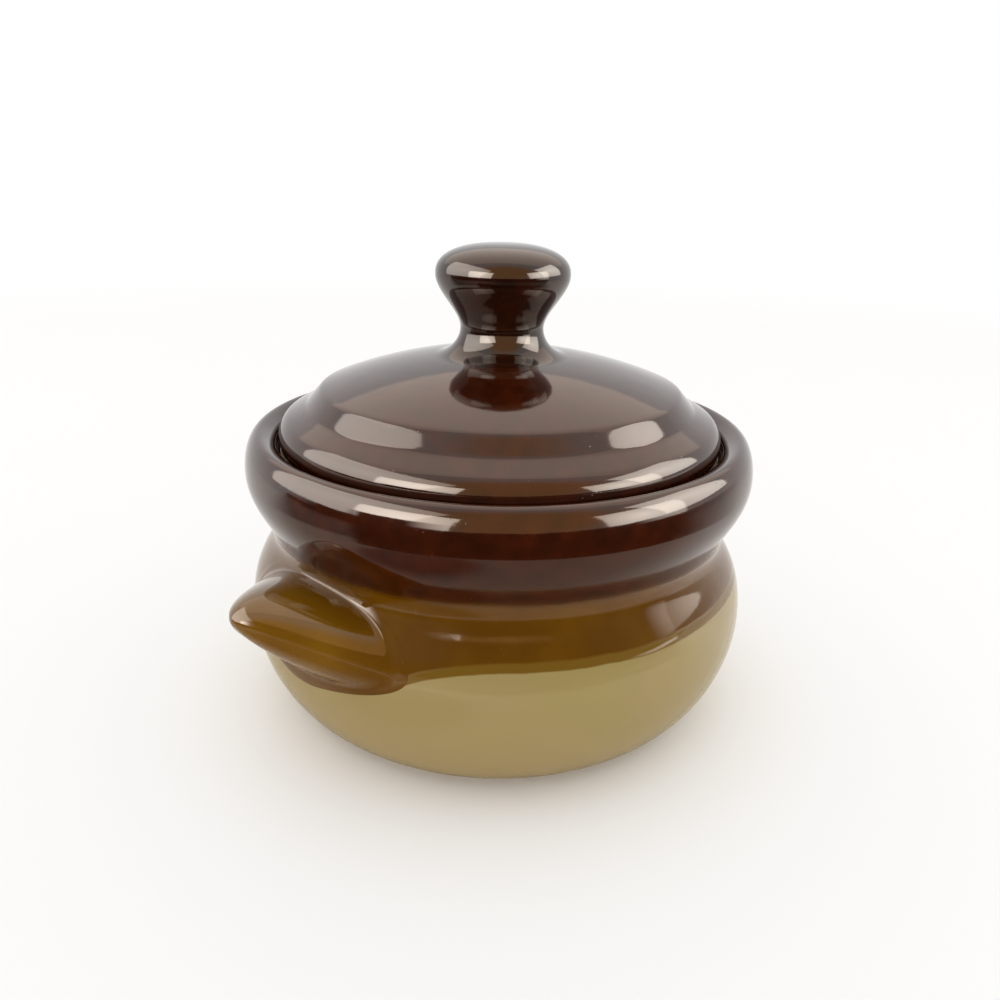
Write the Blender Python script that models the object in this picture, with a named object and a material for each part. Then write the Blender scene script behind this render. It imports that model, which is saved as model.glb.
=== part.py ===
"""Small lidded stoneware bean pot: a turned pot with one lug handle, and a domed lid with a knob.

The origin is the centre of the flat base, +Z runs up the pot's axis and the lug points along +X.
All sizes are in metres. Profiles are lists of (radius, height) pairs.
"""

import math

import bmesh
import bpy
import numpy as np

# Pot, outside: heights are stacked from the base upwards
BASE_RADIUS = 0.0500
BASE_ROUND = 0.0014
BELLY_RADIUS = 0.0653
BELLY_RISE = 0.0265
NECK_INSET = 0.0066
NECK_RISE = 0.0205
RIM_FLARE = 0.0058
RIM_RISE = 0.0168
RIM_CROWN = 0.0088
RIM_WIDTH = 0.0077
RIM_CREST_INSET = 0.0039

# Pot, inside
WALL = 0.0060
FLOOR = 0.0065
FLOOR_INSET = 0.0110
GALLERY_DEPTH = 0.0057
GALLERY_WIDTH = 0.0058
GALLERY_ROUND = 0.0012
MOUTH_FALL = 0.0027

# Lug handle, luted to the belly just under the neck
LUG_WIDTH = 0.0550
LUG_ABOVE = 0.0128
LUG_BELOW = 0.0082
LUG_RISE = 0.0084
LUG_PROJECTION = 0.0141
LUG_LIFT = 0.0110
LUG_FILLET = 0.0022
LUG_PLAN_ROUNDNESS = 0.30
LUG_TOP_ROUNDNESS = 0.90
LUG_UNDER_ROUNDNESS = 1.60

# Lid: heights are stacked from its bearing face upwards
LID_EDGE_RISE = 0.0089
LID_EDGE_BELLY = 0.0043
LID_EDGE_ROUND = 0.0027
LID_BEARING_ROUND = 0.0021
FLANGE_WIDTH = 0.0042
FLANGE_RISE = 0.0022
STEP_RUN = 0.0038
STEP_RISE = 0.0042
STEP_ROUND = 0.0014
DOME_RISE = 0.0087
LID_WALL = 0.0055
LID_BEARING_WIDTH = 0.0061

# Knob, luted to the crown of the lid
KNOB_RADIUS = 0.0166
KNOB_CROWN = 0.0074
KNOB_HEAD_RISE = 0.0127
KNOB_WAIST_RADIUS = 0.0104
KNOB_WAIST_RISE = 0.0054
KNOB_FOOT_RADIUS = 0.0165
KNOB_SQUARENESS = 2.4

# How far each curve keeps the direction it starts or ends with, as a share of its rise or run
RIM_UNDERCUT = 0.42
NECK_HOLLOW_ABOVE = 0.30
NECK_HOLLOW_BELOW = 0.20
BELLY_FULLNESS_ABOVE = 0.66
BELLY_FULLNESS_BELOW = 0.42
FOOT_SPREAD = 0.50
FOOT_LIFT = 0.08
INSIDE_FULLNESS = 0.60
INSIDE_HOLLOW = 0.30
THROAT_EASE = 0.35
MOUTH_EASE = 0.35
FLOOR_SPREAD = 0.60
LID_EDGE_FULLNESS = 0.50
KNOB_HEAD_UNDERCUT = 0.33
KNOB_WAIST_HOLLOW = 0.30
KNOB_FOOT_HOLLOW = 0.45
KNOB_FOOT_SPREAD = 0.35
KNOB_FOOT_LIFT = 0.10
LUG_BLEND = 2.5
LUG_RING_CROWDING = 1.6

# Clearances
LID_PLAY = 0.0008
SEAT_GAP = 0.0003
SLIP_GAP = 0.0003

# Mesh fineness
TURN_STEPS = 56
KNOB_STEPS = 40
LUG_STEPS = 36
LUG_RINGS = 12
LUG_ROOT_RINGS = 5
CURVE_POINTS = 7
ROUND_POINTS = 4
WELD = 1e-6
SHARP_ANGLE = math.radians(40)

# Colours, linear RGB
BROWN_GLAZE = (0.052, 0.016, 0.007)
OCHRE_GLAZE = (0.150, 0.068, 0.008)
BUFF_GLAZE = (0.420, 0.350, 0.205)

# Places that follow from the sizes above
NECK_RADIUS = BELLY_RADIUS - NECK_INSET
RIM_RADIUS = NECK_RADIUS + RIM_FLARE
MOUTH_RADIUS = RIM_RADIUS - RIM_WIDTH
THROAT_RADIUS = MOUTH_RADIUS - GALLERY_WIDTH
NECK_Z = BELLY_RISE + NECK_RISE
RIM_Z = NECK_Z + RIM_RISE
POT_TOP = RIM_Z + RIM_CROWN
GALLERY_Z = POT_TOP - GALLERY_DEPTH
LUG_Z = BELLY_RISE + LUG_RISE
LID_RADIUS = MOUTH_RADIUS - LID_PLAY
STEP_TOP_RADIUS = LID_RADIUS - LID_EDGE_ROUND - FLANGE_WIDTH - STEP_RUN
STEP_TOP_Z = LID_EDGE_RISE + FLANGE_RISE + STEP_RISE
LID_CROWN_Z = STEP_TOP_Z + DOME_RISE
DOME_SPHERE = (STEP_TOP_RADIUS ** 2 + DOME_RISE ** 2) / (2 * DOME_RISE)


def clear_scene() -> None:
    """Remove every object of the open scene."""
    for item in list(bpy.data.objects):
        bpy.data.objects.remove(item, do_unlink=True)


def bezier(start, pull_start, pull_end, end, count=CURVE_POINTS):
    """Points of a cubic Bezier curve, without its first point."""
    corners = np.array([start, pull_start, pull_end, end])
    points = []
    for t in np.linspace(0.0, 1.0, count + 1)[1:]:
        weights = np.array([(1 - t) ** 3, 3 * t * (1 - t) ** 2, 3 * t * t * (1 - t), t ** 3])
        points.append(tuple(weights @ corners))
    return points


def upright_curve(start, end, pull_start, pull_end, count=CURVE_POINTS):
    """A curve that leaves start and reaches end upright; the pulls are shares of its rise."""
    rise = end[1] - start[1]
    near = (start[0], start[1] + pull_start * rise)
    far = (end[0], end[1] - pull_end * rise)
    return bezier(start, near, far, end, count)


def quarter(start, end, level_first, count=ROUND_POINTS):
    """A quarter ellipse from start to end, level at start if level_first, else upright there."""
    run = end[0] - start[0]
    rise = end[1] - start[1]
    points = []
    for angle in np.linspace(0.0, math.pi / 2, count + 1)[1:]:
        ahead = math.sin(angle)
        behind = 1 - math.cos(angle)
        across, along = (ahead, behind) if level_first else (behind, ahead)
        points.append((start[0] + run * across, start[1] + rise * along))
    return points


def rounded(before, corner, after, radius, count=ROUND_POINTS):
    """A corner between two straight runs, eased over the given length on both sides."""
    corner = np.array(corner)
    toward_start = np.array(before) - corner
    toward_end = np.array(after) - corner
    start = corner + radius * toward_start / np.linalg.norm(toward_start)
    end = corner + radius * toward_end / np.linalg.norm(toward_end)
    return [tuple(start)] + bezier(start, corner, corner, end, count)


def pot_outside():
    """The pot's outer wall, from the crest of the rim down to the edge of the base."""
    crest = (RIM_RADIUS - RIM_CREST_INSET, POT_TOP)
    rim = (RIM_RADIUS, RIM_Z)
    neck = (NECK_RADIUS, NECK_Z)
    belly = (BELLY_RADIUS, BELLY_RISE)
    foot = (BASE_RADIUS + BASE_ROUND, BASE_ROUND)
    under_belly = (BELLY_RADIUS, (1 - BELLY_FULLNESS_BELOW) * BELLY_RISE)
    over_foot = (foot[0] + FOOT_SPREAD * (BELLY_RADIUS - foot[0]), foot[1] + FOOT_LIFT * BELLY_RISE)
    points = [crest]
    points += quarter(crest, rim, level_first=True, count=5)
    points += upright_curve(rim, neck, RIM_UNDERCUT, NECK_HOLLOW_ABOVE)
    points += upright_curve(neck, belly, NECK_HOLLOW_BELOW, BELLY_FULLNESS_ABOVE)
    points += bezier(belly, under_belly, over_foot, foot)
    return points


def pot_inside():
    """The pot's inner wall, from the centre of the floor up to the crest of the rim."""
    crest = (RIM_RADIUS - RIM_CREST_INSET, POT_TOP)
    floor_edge = (BASE_RADIUS - FLOOR_INSET, FLOOR)
    belly = (BELLY_RADIUS - WALL, BELLY_RISE)
    neck = (NECK_RADIUS - WALL, NECK_Z)
    throat = (THROAT_RADIUS, GALLERY_Z - GALLERY_ROUND)
    lip = (THROAT_RADIUS + GALLERY_ROUND, GALLERY_Z)
    heel = (MOUTH_RADIUS - GALLERY_ROUND, GALLERY_Z)
    mouth_foot = (MOUTH_RADIUS, GALLERY_Z + GALLERY_ROUND)
    mouth = (MOUTH_RADIUS, POT_TOP - MOUTH_FALL)
    over_mouth = (MOUTH_RADIUS, mouth[1] + MOUTH_EASE * MOUTH_FALL)
    before_crest = (crest[0] - MOUTH_EASE * (crest[0] - MOUTH_RADIUS), POT_TOP)
    along_floor = (floor_edge[0] + FLOOR_SPREAD * (belly[0] - floor_edge[0]), FLOOR)
    under_belly = (belly[0], BELLY_RISE - INSIDE_FULLNESS * (BELLY_RISE - FLOOR))
    points = [(0.0, FLOOR), floor_edge]
    points += bezier(floor_edge, along_floor, under_belly, belly)
    points += upright_curve(belly, neck, INSIDE_FULLNESS, INSIDE_HOLLOW)
    points += upright_curve(neck, throat, THROAT_EASE, THROAT_EASE, count=ROUND_POINTS)
    points += quarter(throat, lip, level_first=False, count=2)
    points.append(heel)
    points += quarter(heel, mouth_foot, level_first=True, count=2)
    points.append(mouth)
    points += bezier(mouth, over_mouth, before_crest, crest, count=ROUND_POINTS)
    return points


def pot_profile():
    """The whole wall of the pot, from the floor over the rim to the underside."""
    outside = pot_outside()
    under = quarter(outside[-1], (BASE_RADIUS, 0.0), level_first=False, count=2)
    return pot_inside() + outside[1:] + under + [(0.0, 0.0)]


def pot_radius(height):
    """The radius of the pot's outer wall at a height."""
    outside = pot_outside()
    heights = [point[1] for point in reversed(outside)]
    radii = [point[0] for point in reversed(outside)]
    return float(np.interp(height, heights, radii))


def dome_height(radius):
    """How far the lid's dome lies below its crown at a radius."""
    return math.sqrt(DOME_SPHERE ** 2 - radius ** 2) - DOME_SPHERE


def lid_profile():
    """The lid, from its crown over the step and the rolled edge to the hollow underneath."""
    dome = []
    for radius in np.linspace(0.0, STEP_TOP_RADIUS - STEP_ROUND, CURVE_POINTS):
        dome.append((radius, LID_CROWN_Z + dome_height(radius)))
    step_top = (STEP_TOP_RADIUS, STEP_TOP_Z)
    step_foot = (STEP_TOP_RADIUS + STEP_RUN, LID_EDGE_RISE + FLANGE_RISE)
    flange_edge = (LID_RADIUS - LID_EDGE_ROUND, LID_EDGE_RISE)
    edge = (LID_RADIUS, LID_EDGE_BELLY)
    ease = LID_EDGE_FULLNESS * LID_EDGE_ROUND
    shoulder = (flange_edge[0] + ease, flange_edge[1] - ease * FLANGE_RISE / FLANGE_WIDTH)
    over_edge = (LID_RADIUS, edge[1] + LID_EDGE_FULLNESS * (LID_EDGE_RISE - LID_EDGE_BELLY))
    bearing = (LID_RADIUS - LID_BEARING_ROUND, 0.0)
    hollow = (bearing[0] - LID_BEARING_WIDTH, 0.0)
    points = dome
    points += rounded(dome[-1], step_top, step_foot, STEP_ROUND, count=3)[1:]
    points += rounded(step_top, step_foot, flange_edge, STEP_ROUND, count=3)
    points.append(flange_edge)
    points += bezier(flange_edge, shoulder, over_edge, edge, count=5)
    points += quarter(edge, bearing, level_first=False)
    points.append(hollow)
    points += quarter(hollow, (0.0, LID_CROWN_Z - LID_WALL), level_first=False, count=9)
    return points


def knob_profile():
    """The knob, from its crown over the head and waist to the foot that follows the dome."""
    foot_z = dome_height(KNOB_FOOT_RADIUS)
    waist = (KNOB_WAIST_RADIUS, KNOB_WAIST_RISE)
    head = (KNOB_RADIUS, KNOB_WAIST_RISE + KNOB_HEAD_RISE)
    foot = (KNOB_FOOT_RADIUS, foot_z)
    points = []
    for angle in np.linspace(0.0, math.pi / 2, 9):
        across = math.sin(angle) ** (2 / KNOB_SQUARENESS)
        above = max(0.0, math.cos(angle)) ** (2 / KNOB_SQUARENESS)
        points.append((KNOB_RADIUS * across, head[1] + KNOB_CROWN * above))
    points += upright_curve(head, waist, KNOB_HEAD_UNDERCUT, KNOB_WAIST_HOLLOW)
    run = foot[0] - waist[0]
    fall = foot[1] - waist[1]
    upright = (waist[0], waist[1] + KNOB_FOOT_HOLLOW * fall)
    level = (waist[0] + KNOB_FOOT_SPREAD * run, foot[1] - KNOB_FOOT_LIFT * fall)
    points += bezier(waist, upright, level, foot, count=5)
    for radius in np.linspace(KNOB_FOOT_RADIUS, 0.0, ROUND_POINTS)[1:]:
        points.append((radius, dome_height(radius)))
    return points


def lug_root(angle, share=1.0):
    """A point of the lug's root, which follows the pot's wall one slip joint away from it."""
    rise = math.sin(angle)
    height = LUG_Z + share * rise * (LUG_ABOVE if rise > 0 else LUG_BELOW)
    around = share * math.cos(angle) * LUG_WIDTH / 2 / pot_radius(LUG_Z)
    radius = pot_radius(height) + SLIP_GAP
    return np.array([radius * math.cos(around), radius * math.sin(around), height])


def lug_meridian(angle):
    """Points of the lug from its root at this angle to just short of its tip."""
    tip = np.array([BELLY_RADIUS + LUG_PROJECTION, 0.0, LUG_Z + LUG_LIFT])
    axis = tip - lug_root(0.0, share=0.0)
    axis /= np.linalg.norm(axis)
    side = np.array([0.0, 1.0, 0.0])
    up = np.cross(axis, side)
    root = lug_root(angle) - tip
    depth = -root @ axis
    offset = np.array([root @ side, root @ up])
    reach = np.linalg.norm(offset)
    slim = offset * (1 - LUG_FILLET / reach)
    flare = offset * LUG_FILLET / reach
    blend_start = 1 - LUG_BLEND * LUG_FILLET / depth
    side_roundness = LUG_TOP_ROUNDNESS if offset[1] > 0 else LUG_UNDER_ROUNDNESS
    roundness = np.array([LUG_PLAN_ROUNDNESS, side_roundness])
    points = []
    for step in range(LUG_RINGS, 0, -1):
        share = (step / LUG_RINGS) ** LUG_RING_CROWDING
        taper = np.sqrt(roundness * share + (1 - roundness) * share ** 2)
        blend = max(0.0, (share - blend_start) / (1 - blend_start)) ** 2
        across = slim * taper + flare * blend
        points.append(tip - axis * depth * share + side * across[0] + up * across[1])
    return points, tip


def glaze(name, colour, roughness):
    """A glossy fired glaze."""
    material = bpy.data.materials.new(name)
    material.use_nodes = True
    shader = material.node_tree.nodes["Principled BSDF"]
    shader.inputs["Base Color"].default_value = (*colour, 1.0)
    shader.inputs["Roughness"].default_value = roughness
    shader.inputs["Metallic"].default_value = 0.0
    material.diffuse_color = (*colour, 1.0)
    return material


def finished(name, shape, material):
    """Turn a bmesh into a named, smoothly shaded object."""
    bmesh.ops.recalc_face_normals(shape, faces=shape.faces)
    mesh = bpy.data.meshes.new(name)
    shape.to_mesh(mesh)
    shape.free()
    mesh.shade_smooth()
    mesh.set_sharp_from_angle(angle=SHARP_ANGLE)
    mesh.materials.append(material)
    item = bpy.data.objects.new(name, mesh)
    bpy.context.scene.collection.objects.link(item)
    return item


def turned(name, profile, steps, material):
    """A solid of revolution about Z whose profile starts and ends on the axis."""
    shape = bmesh.new()
    verts = [shape.verts.new((radius, 0.0, height)) for radius, height in profile]
    edges = [shape.edges.new(pair) for pair in zip(verts, verts[1:])]
    bmesh.ops.spin(
        shape, geom=verts + edges, cent=(0, 0, 0), axis=(0, 0, 1),
        angle=math.tau, steps=steps, use_merge=True,
    )
    bmesh.ops.remove_doubles(shape, verts=shape.verts, dist=WELD)
    return finished(name, shape, material)


def skinned(shape, rings, first_pole, last_pole):
    """Close a stack of rings of vertices into one skin with a pole at each end."""
    for near, far in zip(rings, rings[1:]):
        for i in range(len(near)):
            j = (i + 1) % len(near)
            shape.faces.new((near[i], near[j], far[j], far[i]))
    for ring, pole in ((rings[0], first_pole), (rings[-1], last_pole)):
        for i in range(len(ring)):
            shape.faces.new((ring[i], ring[(i + 1) % len(ring)], pole))


def make_lug(material):
    """The lug handle: a triangular ear whose root follows the belly and whose tip is rounded."""
    shape = bmesh.new()
    angles = [math.tau * i / LUG_STEPS for i in range(LUG_STEPS)]
    rings = []
    for step in range(1, LUG_ROOT_RINGS):
        share = step / LUG_ROOT_RINGS
        rings.append([shape.verts.new(lug_root(angle, share)) for angle in angles])
    meridians = [lug_meridian(angle) for angle in angles]
    for ring in range(LUG_RINGS):
        rings.append([shape.verts.new(points[ring]) for points, _ in meridians])
    root_pole = shape.verts.new(lug_root(0.0, share=0.0))
    tip_pole = shape.verts.new(meridians[0][1])
    skinned(shape, rings, root_pole, tip_pole)
    return finished("lug_handle", shape, material)


def main() -> None:
    """Build the pot with its lug, and the lid with its knob seated in the gallery."""
    clear_scene()
    pot = turned("pot_body", pot_profile(), TURN_STEPS, glaze("buff_glaze", BUFF_GLAZE, 0.10))
    lug = make_lug(glaze("ochre_glaze", OCHRE_GLAZE, 0.09))
    lug.parent = pot
    lid = turned("lid", lid_profile(), TURN_STEPS, glaze("brown_glaze", BROWN_GLAZE, 0.07))
    lid.location = (0.0, 0.0, GALLERY_Z + SEAT_GAP)
    knob = turned("lid_knob", knob_profile(), KNOB_STEPS, glaze("knob_glaze", BROWN_GLAZE, 0.07))
    knob.parent = lid
    knob.location = (0.0, 0.0, LID_CROWN_Z + SLIP_GAP)


if __name__ == "__main__":
    main()
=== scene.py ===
"""A small lidded stoneware bean pot, dressed for rendering.

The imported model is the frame: metres, origin at the centre of the flat base, +Z up, the lug along +X.
Four pieces stand for its four solids: the turned pot, its lug handle, the lid and the knob on the lid.
"""

import logging
import math
from collections.abc import Callable
from dataclasses import dataclass
from enum import Enum
from typing import Any, Self

import bmesh
import bpy
import numpy as np
from bpy.types import ID, Material, Mesh, NodeSocket, NodeTree, Object, World
from mathutils import Matrix, Vector


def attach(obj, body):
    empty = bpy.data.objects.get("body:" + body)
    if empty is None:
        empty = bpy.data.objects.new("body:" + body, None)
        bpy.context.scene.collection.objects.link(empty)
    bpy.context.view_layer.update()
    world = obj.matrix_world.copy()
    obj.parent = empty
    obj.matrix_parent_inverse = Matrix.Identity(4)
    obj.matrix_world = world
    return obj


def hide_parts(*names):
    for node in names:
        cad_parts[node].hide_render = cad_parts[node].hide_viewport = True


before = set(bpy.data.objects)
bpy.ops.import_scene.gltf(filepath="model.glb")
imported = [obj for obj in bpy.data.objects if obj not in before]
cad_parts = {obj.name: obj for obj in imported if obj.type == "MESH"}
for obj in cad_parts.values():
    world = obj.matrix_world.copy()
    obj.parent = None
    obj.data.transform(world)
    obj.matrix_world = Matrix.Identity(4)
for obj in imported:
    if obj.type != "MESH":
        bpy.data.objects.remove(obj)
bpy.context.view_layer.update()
LOG = logging.getLogger("bean_pot")
WELD = 1e-7
LEAST_ROWS = 4
ARC_PER_CHORD = 1.2

Point = tuple[float, float]
Points = list[Point]
Pair = tuple[float, float]
Colour = tuple[float, float, float]


class Body(Enum):
    """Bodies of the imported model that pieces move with."""

    POT = "pot"
    LID = "lid"


class Slot(Enum):
    """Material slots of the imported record."""

    BANDED = "banded_glaze"
    OCHRE = "ochre_glaze"
    BROWN = "brown_glaze"


class Cover(Enum):
    """What a stretch of a turned profile is covered with: shares of lining and of bare clay."""

    OUTSIDE = (0.0, 0.0)
    LINING = (1.0, 0.0)
    BARE = (0.0, 1.0)


class Rows(Enum):
    """Spacing of the rows of faces along a turned profile, in metres."""

    FINE = 0.00050
    PLAIN = 0.00070
    HIDDEN = 0.00150


def arithmetic(operation: str, swapped: bool = False) -> Callable[["Socket", "Socket | float"], "Socket"]:
    """A method that puts a Math node on a socket and another value.

    Args:
        operation: What the node works out.
        swapped: Whether the other value comes first.

    Returns:
        The method.
    """

    def method(first: "Socket", second: "Socket | float") -> "Socket":
        """The output of the Math node."""
        values = (second, first) if swapped else (first, second)
        return first.sheet.maths(operation, *values)

    return method


class Socket:
    """An output socket of a node that takes part in Python arithmetic."""

    __add__ = arithmetic("ADD")
    __radd__ = arithmetic("ADD", swapped=True)
    __sub__ = arithmetic("SUBTRACT")
    __rsub__ = arithmetic("SUBTRACT", swapped=True)
    __mul__ = arithmetic("MULTIPLY")
    __rmul__ = arithmetic("MULTIPLY", swapped=True)
    __truediv__ = arithmetic("DIVIDE")
    __rtruediv__ = arithmetic("DIVIDE", swapped=True)
    __pow__ = arithmetic("POWER")
    __rpow__ = arithmetic("POWER", swapped=True)
    at_least = arithmetic("MAXIMUM")

    def __init__(self, sheet: "NodeSheet", output: NodeSocket | None) -> None:
        """Wrap an output socket of a node on a sheet, or none for a node that ends a tree."""
        self.sheet = sheet
        self.output = output

    def __getitem__(self, name: str) -> "Socket":
        """Another output of the same node."""
        return Socket(self.sheet, self.sheet.find(self.output.node.outputs, name))

    def eased(self, low: float, high: float) -> "Socket":
        """A smooth change from 0 at low to 1 at high."""
        sockets = {"Value": self, "From Min": low, "From Max": high, "To Min": 0.0, "To Max": 1.0}
        return self.sheet.node("ShaderNodeMapRange", {"interpolation_type": "SMOOTHSTEP"}, sockets)


class NodeSheet:
    """A node tree that is written as Python expressions."""

    def __init__(self, tree: NodeTree) -> None:
        """Start on an empty tree."""
        tree.nodes.clear()
        self.tree = tree

    @classmethod
    def of(cls, owner: Material | World) -> Self:
        """The emptied node tree of a material or of the world."""
        owner.use_nodes = True
        return cls(owner.node_tree)

    @staticmethod
    def find(sockets: Any, key: str | int) -> NodeSocket:
        """A socket by its identifier, or else by its name or its place in the list."""
        named = [socket for socket in sockets if socket.identifier == key]
        return named[0] if named else sockets[key]

    def node(
        self,
        kind: str,
        settings: dict[str, Any] | None = None,
        sockets: dict[str | int, Any] | None = None,
        output: str | int = 0,
    ) -> Socket:
        """Add a node.

        Args:
            kind: The node's type.
            settings: Its properties, which are set first.
            sockets: Values or links of its inputs, by name, identifier or place.
            output: The output that is wanted.

        Returns:
            That output.
        """
        made = self.tree.nodes.new(kind)
        for name, value in (settings or {}).items():
            setattr(made, name, value)
        for key, value in (sockets or {}).items():
            entry = self.find(made.inputs, key)
            if isinstance(value, Socket):
                self.tree.links.new(value.output, entry)
            else:
                entry.default_value = value
        if not made.outputs:
            return Socket(self, None)
        return Socket(self, self.find(made.outputs, output))

    def maths(self, operation: str, *values: "Socket | float") -> Socket:
        """A Math node on one to three values."""
        return self.node("ShaderNodeMath", {"operation": operation}, dict(enumerate(values)))

    def vector(self, operation: str, *values: Any, output: str = "Vector") -> Socket:
        """A Vector Math node on vectors."""
        return self.node("ShaderNodeVectorMath", {"operation": operation}, dict(enumerate(values)), output)

    def noise(self, scale: float, detail: float) -> Socket:
        """Soft noise over the object, about 0.5.

        Args:
            scale: Patches to the metre.
            detail: Finer layers.

        Returns:
            The noise.
        """
        place = self.node("ShaderNodeTexCoord", output="Object")
        sockets = {"Vector": place, "Scale": scale, "Detail": detail}
        return self.node("ShaderNodeTexNoise", sockets=sockets, output="Fac")

    def carried(self, name: str) -> Socket:
        """A value that the piece carries on its points."""
        return self.node("ShaderNodeAttribute", {"attribute_name": name}, output="Fac")

    def mixed(self, share: "Socket | float", first: "Socket | Colour", second: "Socket | Colour") -> Socket:
        """A colour between two others.

        Args:
            share: How much of the second colour.
            first: The colour at share 0.
            second: The colour at share 1.

        Returns:
            The mixed colour.
        """
        sockets = {"Factor_Float": share}
        for name, colour in (("A_Color", first), ("B_Color", second)):
            sockets[name] = colour if isinstance(colour, Socket) else (*colour, 1.0)
        return self.node("ShaderNodeMix", {"data_type": "RGBA"}, sockets, "Result_Color")


@dataclass(frozen=True)
class Cloud:
    """Soft noise: patch size in millimetres, finer layers, pattern, where patches start and are full."""

    size: float
    detail: float
    pattern: float
    start: float = -0.2
    full: float = 0.2


@dataclass(frozen=True)
class Dots:
    """Dots in cells: spacing and largest radius in millimetres, share of cells with a dot, and pattern."""

    spacing: float
    radius: float
    share: float
    pattern: float


class GlazeSheet(NodeSheet):
    """The nodes that all the pot's glazes share, with heights in millimetres."""

    PER_METRE = 1000.0
    PICK_EDGE = 0.01
    BARE_EDGE = (0.35, 0.65)

    def __init__(self, tree: NodeTree) -> None:
        """Start a material that reads object coordinates.

        Args:
            tree: The material's node tree.
        """
        super().__init__(tree)
        self.place = self.node("ShaderNodeTexCoord", output="Object")
        parts = self.node("ShaderNodeSeparateXYZ", sockets={"Vector": self.place})
        self.across = parts["X"]
        self.along = parts["Y"]
        self.height = parts["Z"] * self.PER_METRE

    def cloud(self, cloud: Cloud) -> Socket:
        """Soft noise from about -0.5 to 0.5.

        Args:
            cloud: Its size and pattern.

        Returns:
            The noise.
        """
        scale = self.PER_METRE / cloud.size
        sockets = {"Vector": self.place, "W": cloud.pattern, "Scale": scale, "Detail": cloud.detail}
        return self.node("ShaderNodeTexNoise", {"noise_dimensions": "4D"}, sockets, "Fac") - 0.5

    def patches(self, cloud: Cloud) -> Socket:
        """Soft patches: 1 inside and 0 between them."""
        return self.cloud(cloud).eased(cloud.start, cloud.full)

    def dots(self, dots: Dots) -> Socket:
        """Scattered dots.

        Args:
            dots: Their size, share and pattern.

        Returns:
            1 in the middle of a dot and 0 outside.
        """
        settings = {"voronoi_dimensions": "4D", "feature": "F1"}
        sockets = {"Vector": self.place, "W": dots.pattern, "Scale": self.PER_METRE / dots.spacing}
        cells = self.node("ShaderNodeTexVoronoi", settings, sockets, "Distance")
        pick = self.node("ShaderNodeSeparateColor", sockets={"Color": cells["Color"]})
        chosen = pick.eased(1.0 - dots.share - self.PICK_EDGE, 1.0 - dots.share + self.PICK_EDGE)
        return (1.0 - cells.eased(0.0, dots.radius / dots.spacing)) * chosen

    def bare(self) -> Socket:
        """1 where the clay is bare and 0 where it is glazed."""
        return self.carried("bare").eased(*self.BARE_EDGE)

    def finish(self, colour: Socket, roughness: Socket, relief: Socket, coat: "GlazeCoat") -> None:
        """Close the material with its shader.

        Args:
            colour: Base colour.
            roughness: Roughness.
            relief: Height of the fine relief in metres.
            coat: The glassy coat.
        """
        bump = self.node("ShaderNodeBump", sockets={"Strength": 1.0, "Distance": 1.0, "Height": relief})
        sockets = {"Base Color": colour, "Roughness": roughness, "Normal": bump}
        sockets |= {"IOR": coat.refraction, "Specular Tint": (*coat.sheen, 1.0)}
        shader = self.node("ShaderNodeBsdfPrincipled", sockets=sockets)
        self.node("ShaderNodeOutputMaterial", sockets={"Surface": shader})


@dataclass(frozen=True)
class BareClay:
    """Unglazed fired clay, where the pot stands and where the lid bears: sandy, with fine dark grog."""

    light: Colour = (0.50, 0.39, 0.26)
    dark: Colour = (0.36, 0.26, 0.16)
    grog: Colour = (0.16, 0.09, 0.05)
    grog_cover: float = 0.6
    roughness: float = 0.72
    grit: float = 0.00006
    sand: Cloud = Cloud(3.0, 5.0, 31.0)
    grog_dots: Dots = Dots(1.1, 0.30, 0.35, 32.0)
    grit_cloud: Cloud = Cloud(0.5, 3.0, 33.0)

    def colour(self, sheet: GlazeSheet) -> Socket:
        """Sandy clay with fine dark grog."""
        body = sheet.mixed(sheet.patches(self.sand), self.dark, self.light)
        return sheet.mixed(sheet.dots(self.grog_dots) * self.grog_cover, body, self.grog)

    def relief(self, sheet: GlazeSheet) -> Socket:
        """Fine gritty height in metres."""
        return sheet.cloud(self.grit_cloud) * self.grit


@dataclass(frozen=True)
class GlazeCoat:
    """The glassy coat: how smooth it fires, and the faults it keeps. Heights are in metres."""

    roughness: float = 0.075
    roughness_play: float = 0.05
    refraction: float = 1.60
    sheen: Colour = (1.0, 0.93, 0.86)
    sag: float = 0.000050
    peel: float = 0.000012
    grain: float = 0.0000025
    pinhole: float = 0.000045
    patches: Cloud = Cloud(17.0, 1.0, 11.0, 0.02, 0.16)
    crowded: Dots = Dots(0.9, 0.22, 0.45, 12.0)
    lone: Dots = Dots(3.2, 0.28, 0.30, 13.0)
    sag_cloud: Cloud = Cloud(13.0, 1.0, 14.0)
    peel_cloud: Cloud = Cloud(2.6, 1.0, 15.0)
    grain_cloud: Cloud = Cloud(0.8, 1.0, 16.0)
    gloss_cloud: Cloud = Cloud(9.0, 3.0, 17.0)

    def pinholes(self, sheet: GlazeSheet) -> Socket:
        """Clusters of tiny burst bubbles, 1 in the middle of each."""
        patches = sheet.patches(self.patches)
        return sheet.dots(self.crowded) * patches + sheet.dots(self.lone)

    def relief(self, sheet: GlazeSheet) -> Socket:
        """Height of the glaze: sagging, orange peel and grain.

        Args:
            sheet: The material to write on.

        Returns:
            The height in metres.
        """
        slow = sheet.cloud(self.sag_cloud) * self.sag
        peel = sheet.cloud(self.peel_cloud) * self.peel
        return slow + peel + sheet.cloud(self.grain_cloud) * self.grain

    def gloss(self, sheet: GlazeSheet, holes: Socket, hole_roughness: float) -> Socket:
        """Roughness of the coat, higher in the pinholes."""
        play = sheet.cloud(self.gloss_cloud) * self.roughness_play
        return self.roughness + play + holes * hole_roughness


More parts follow.
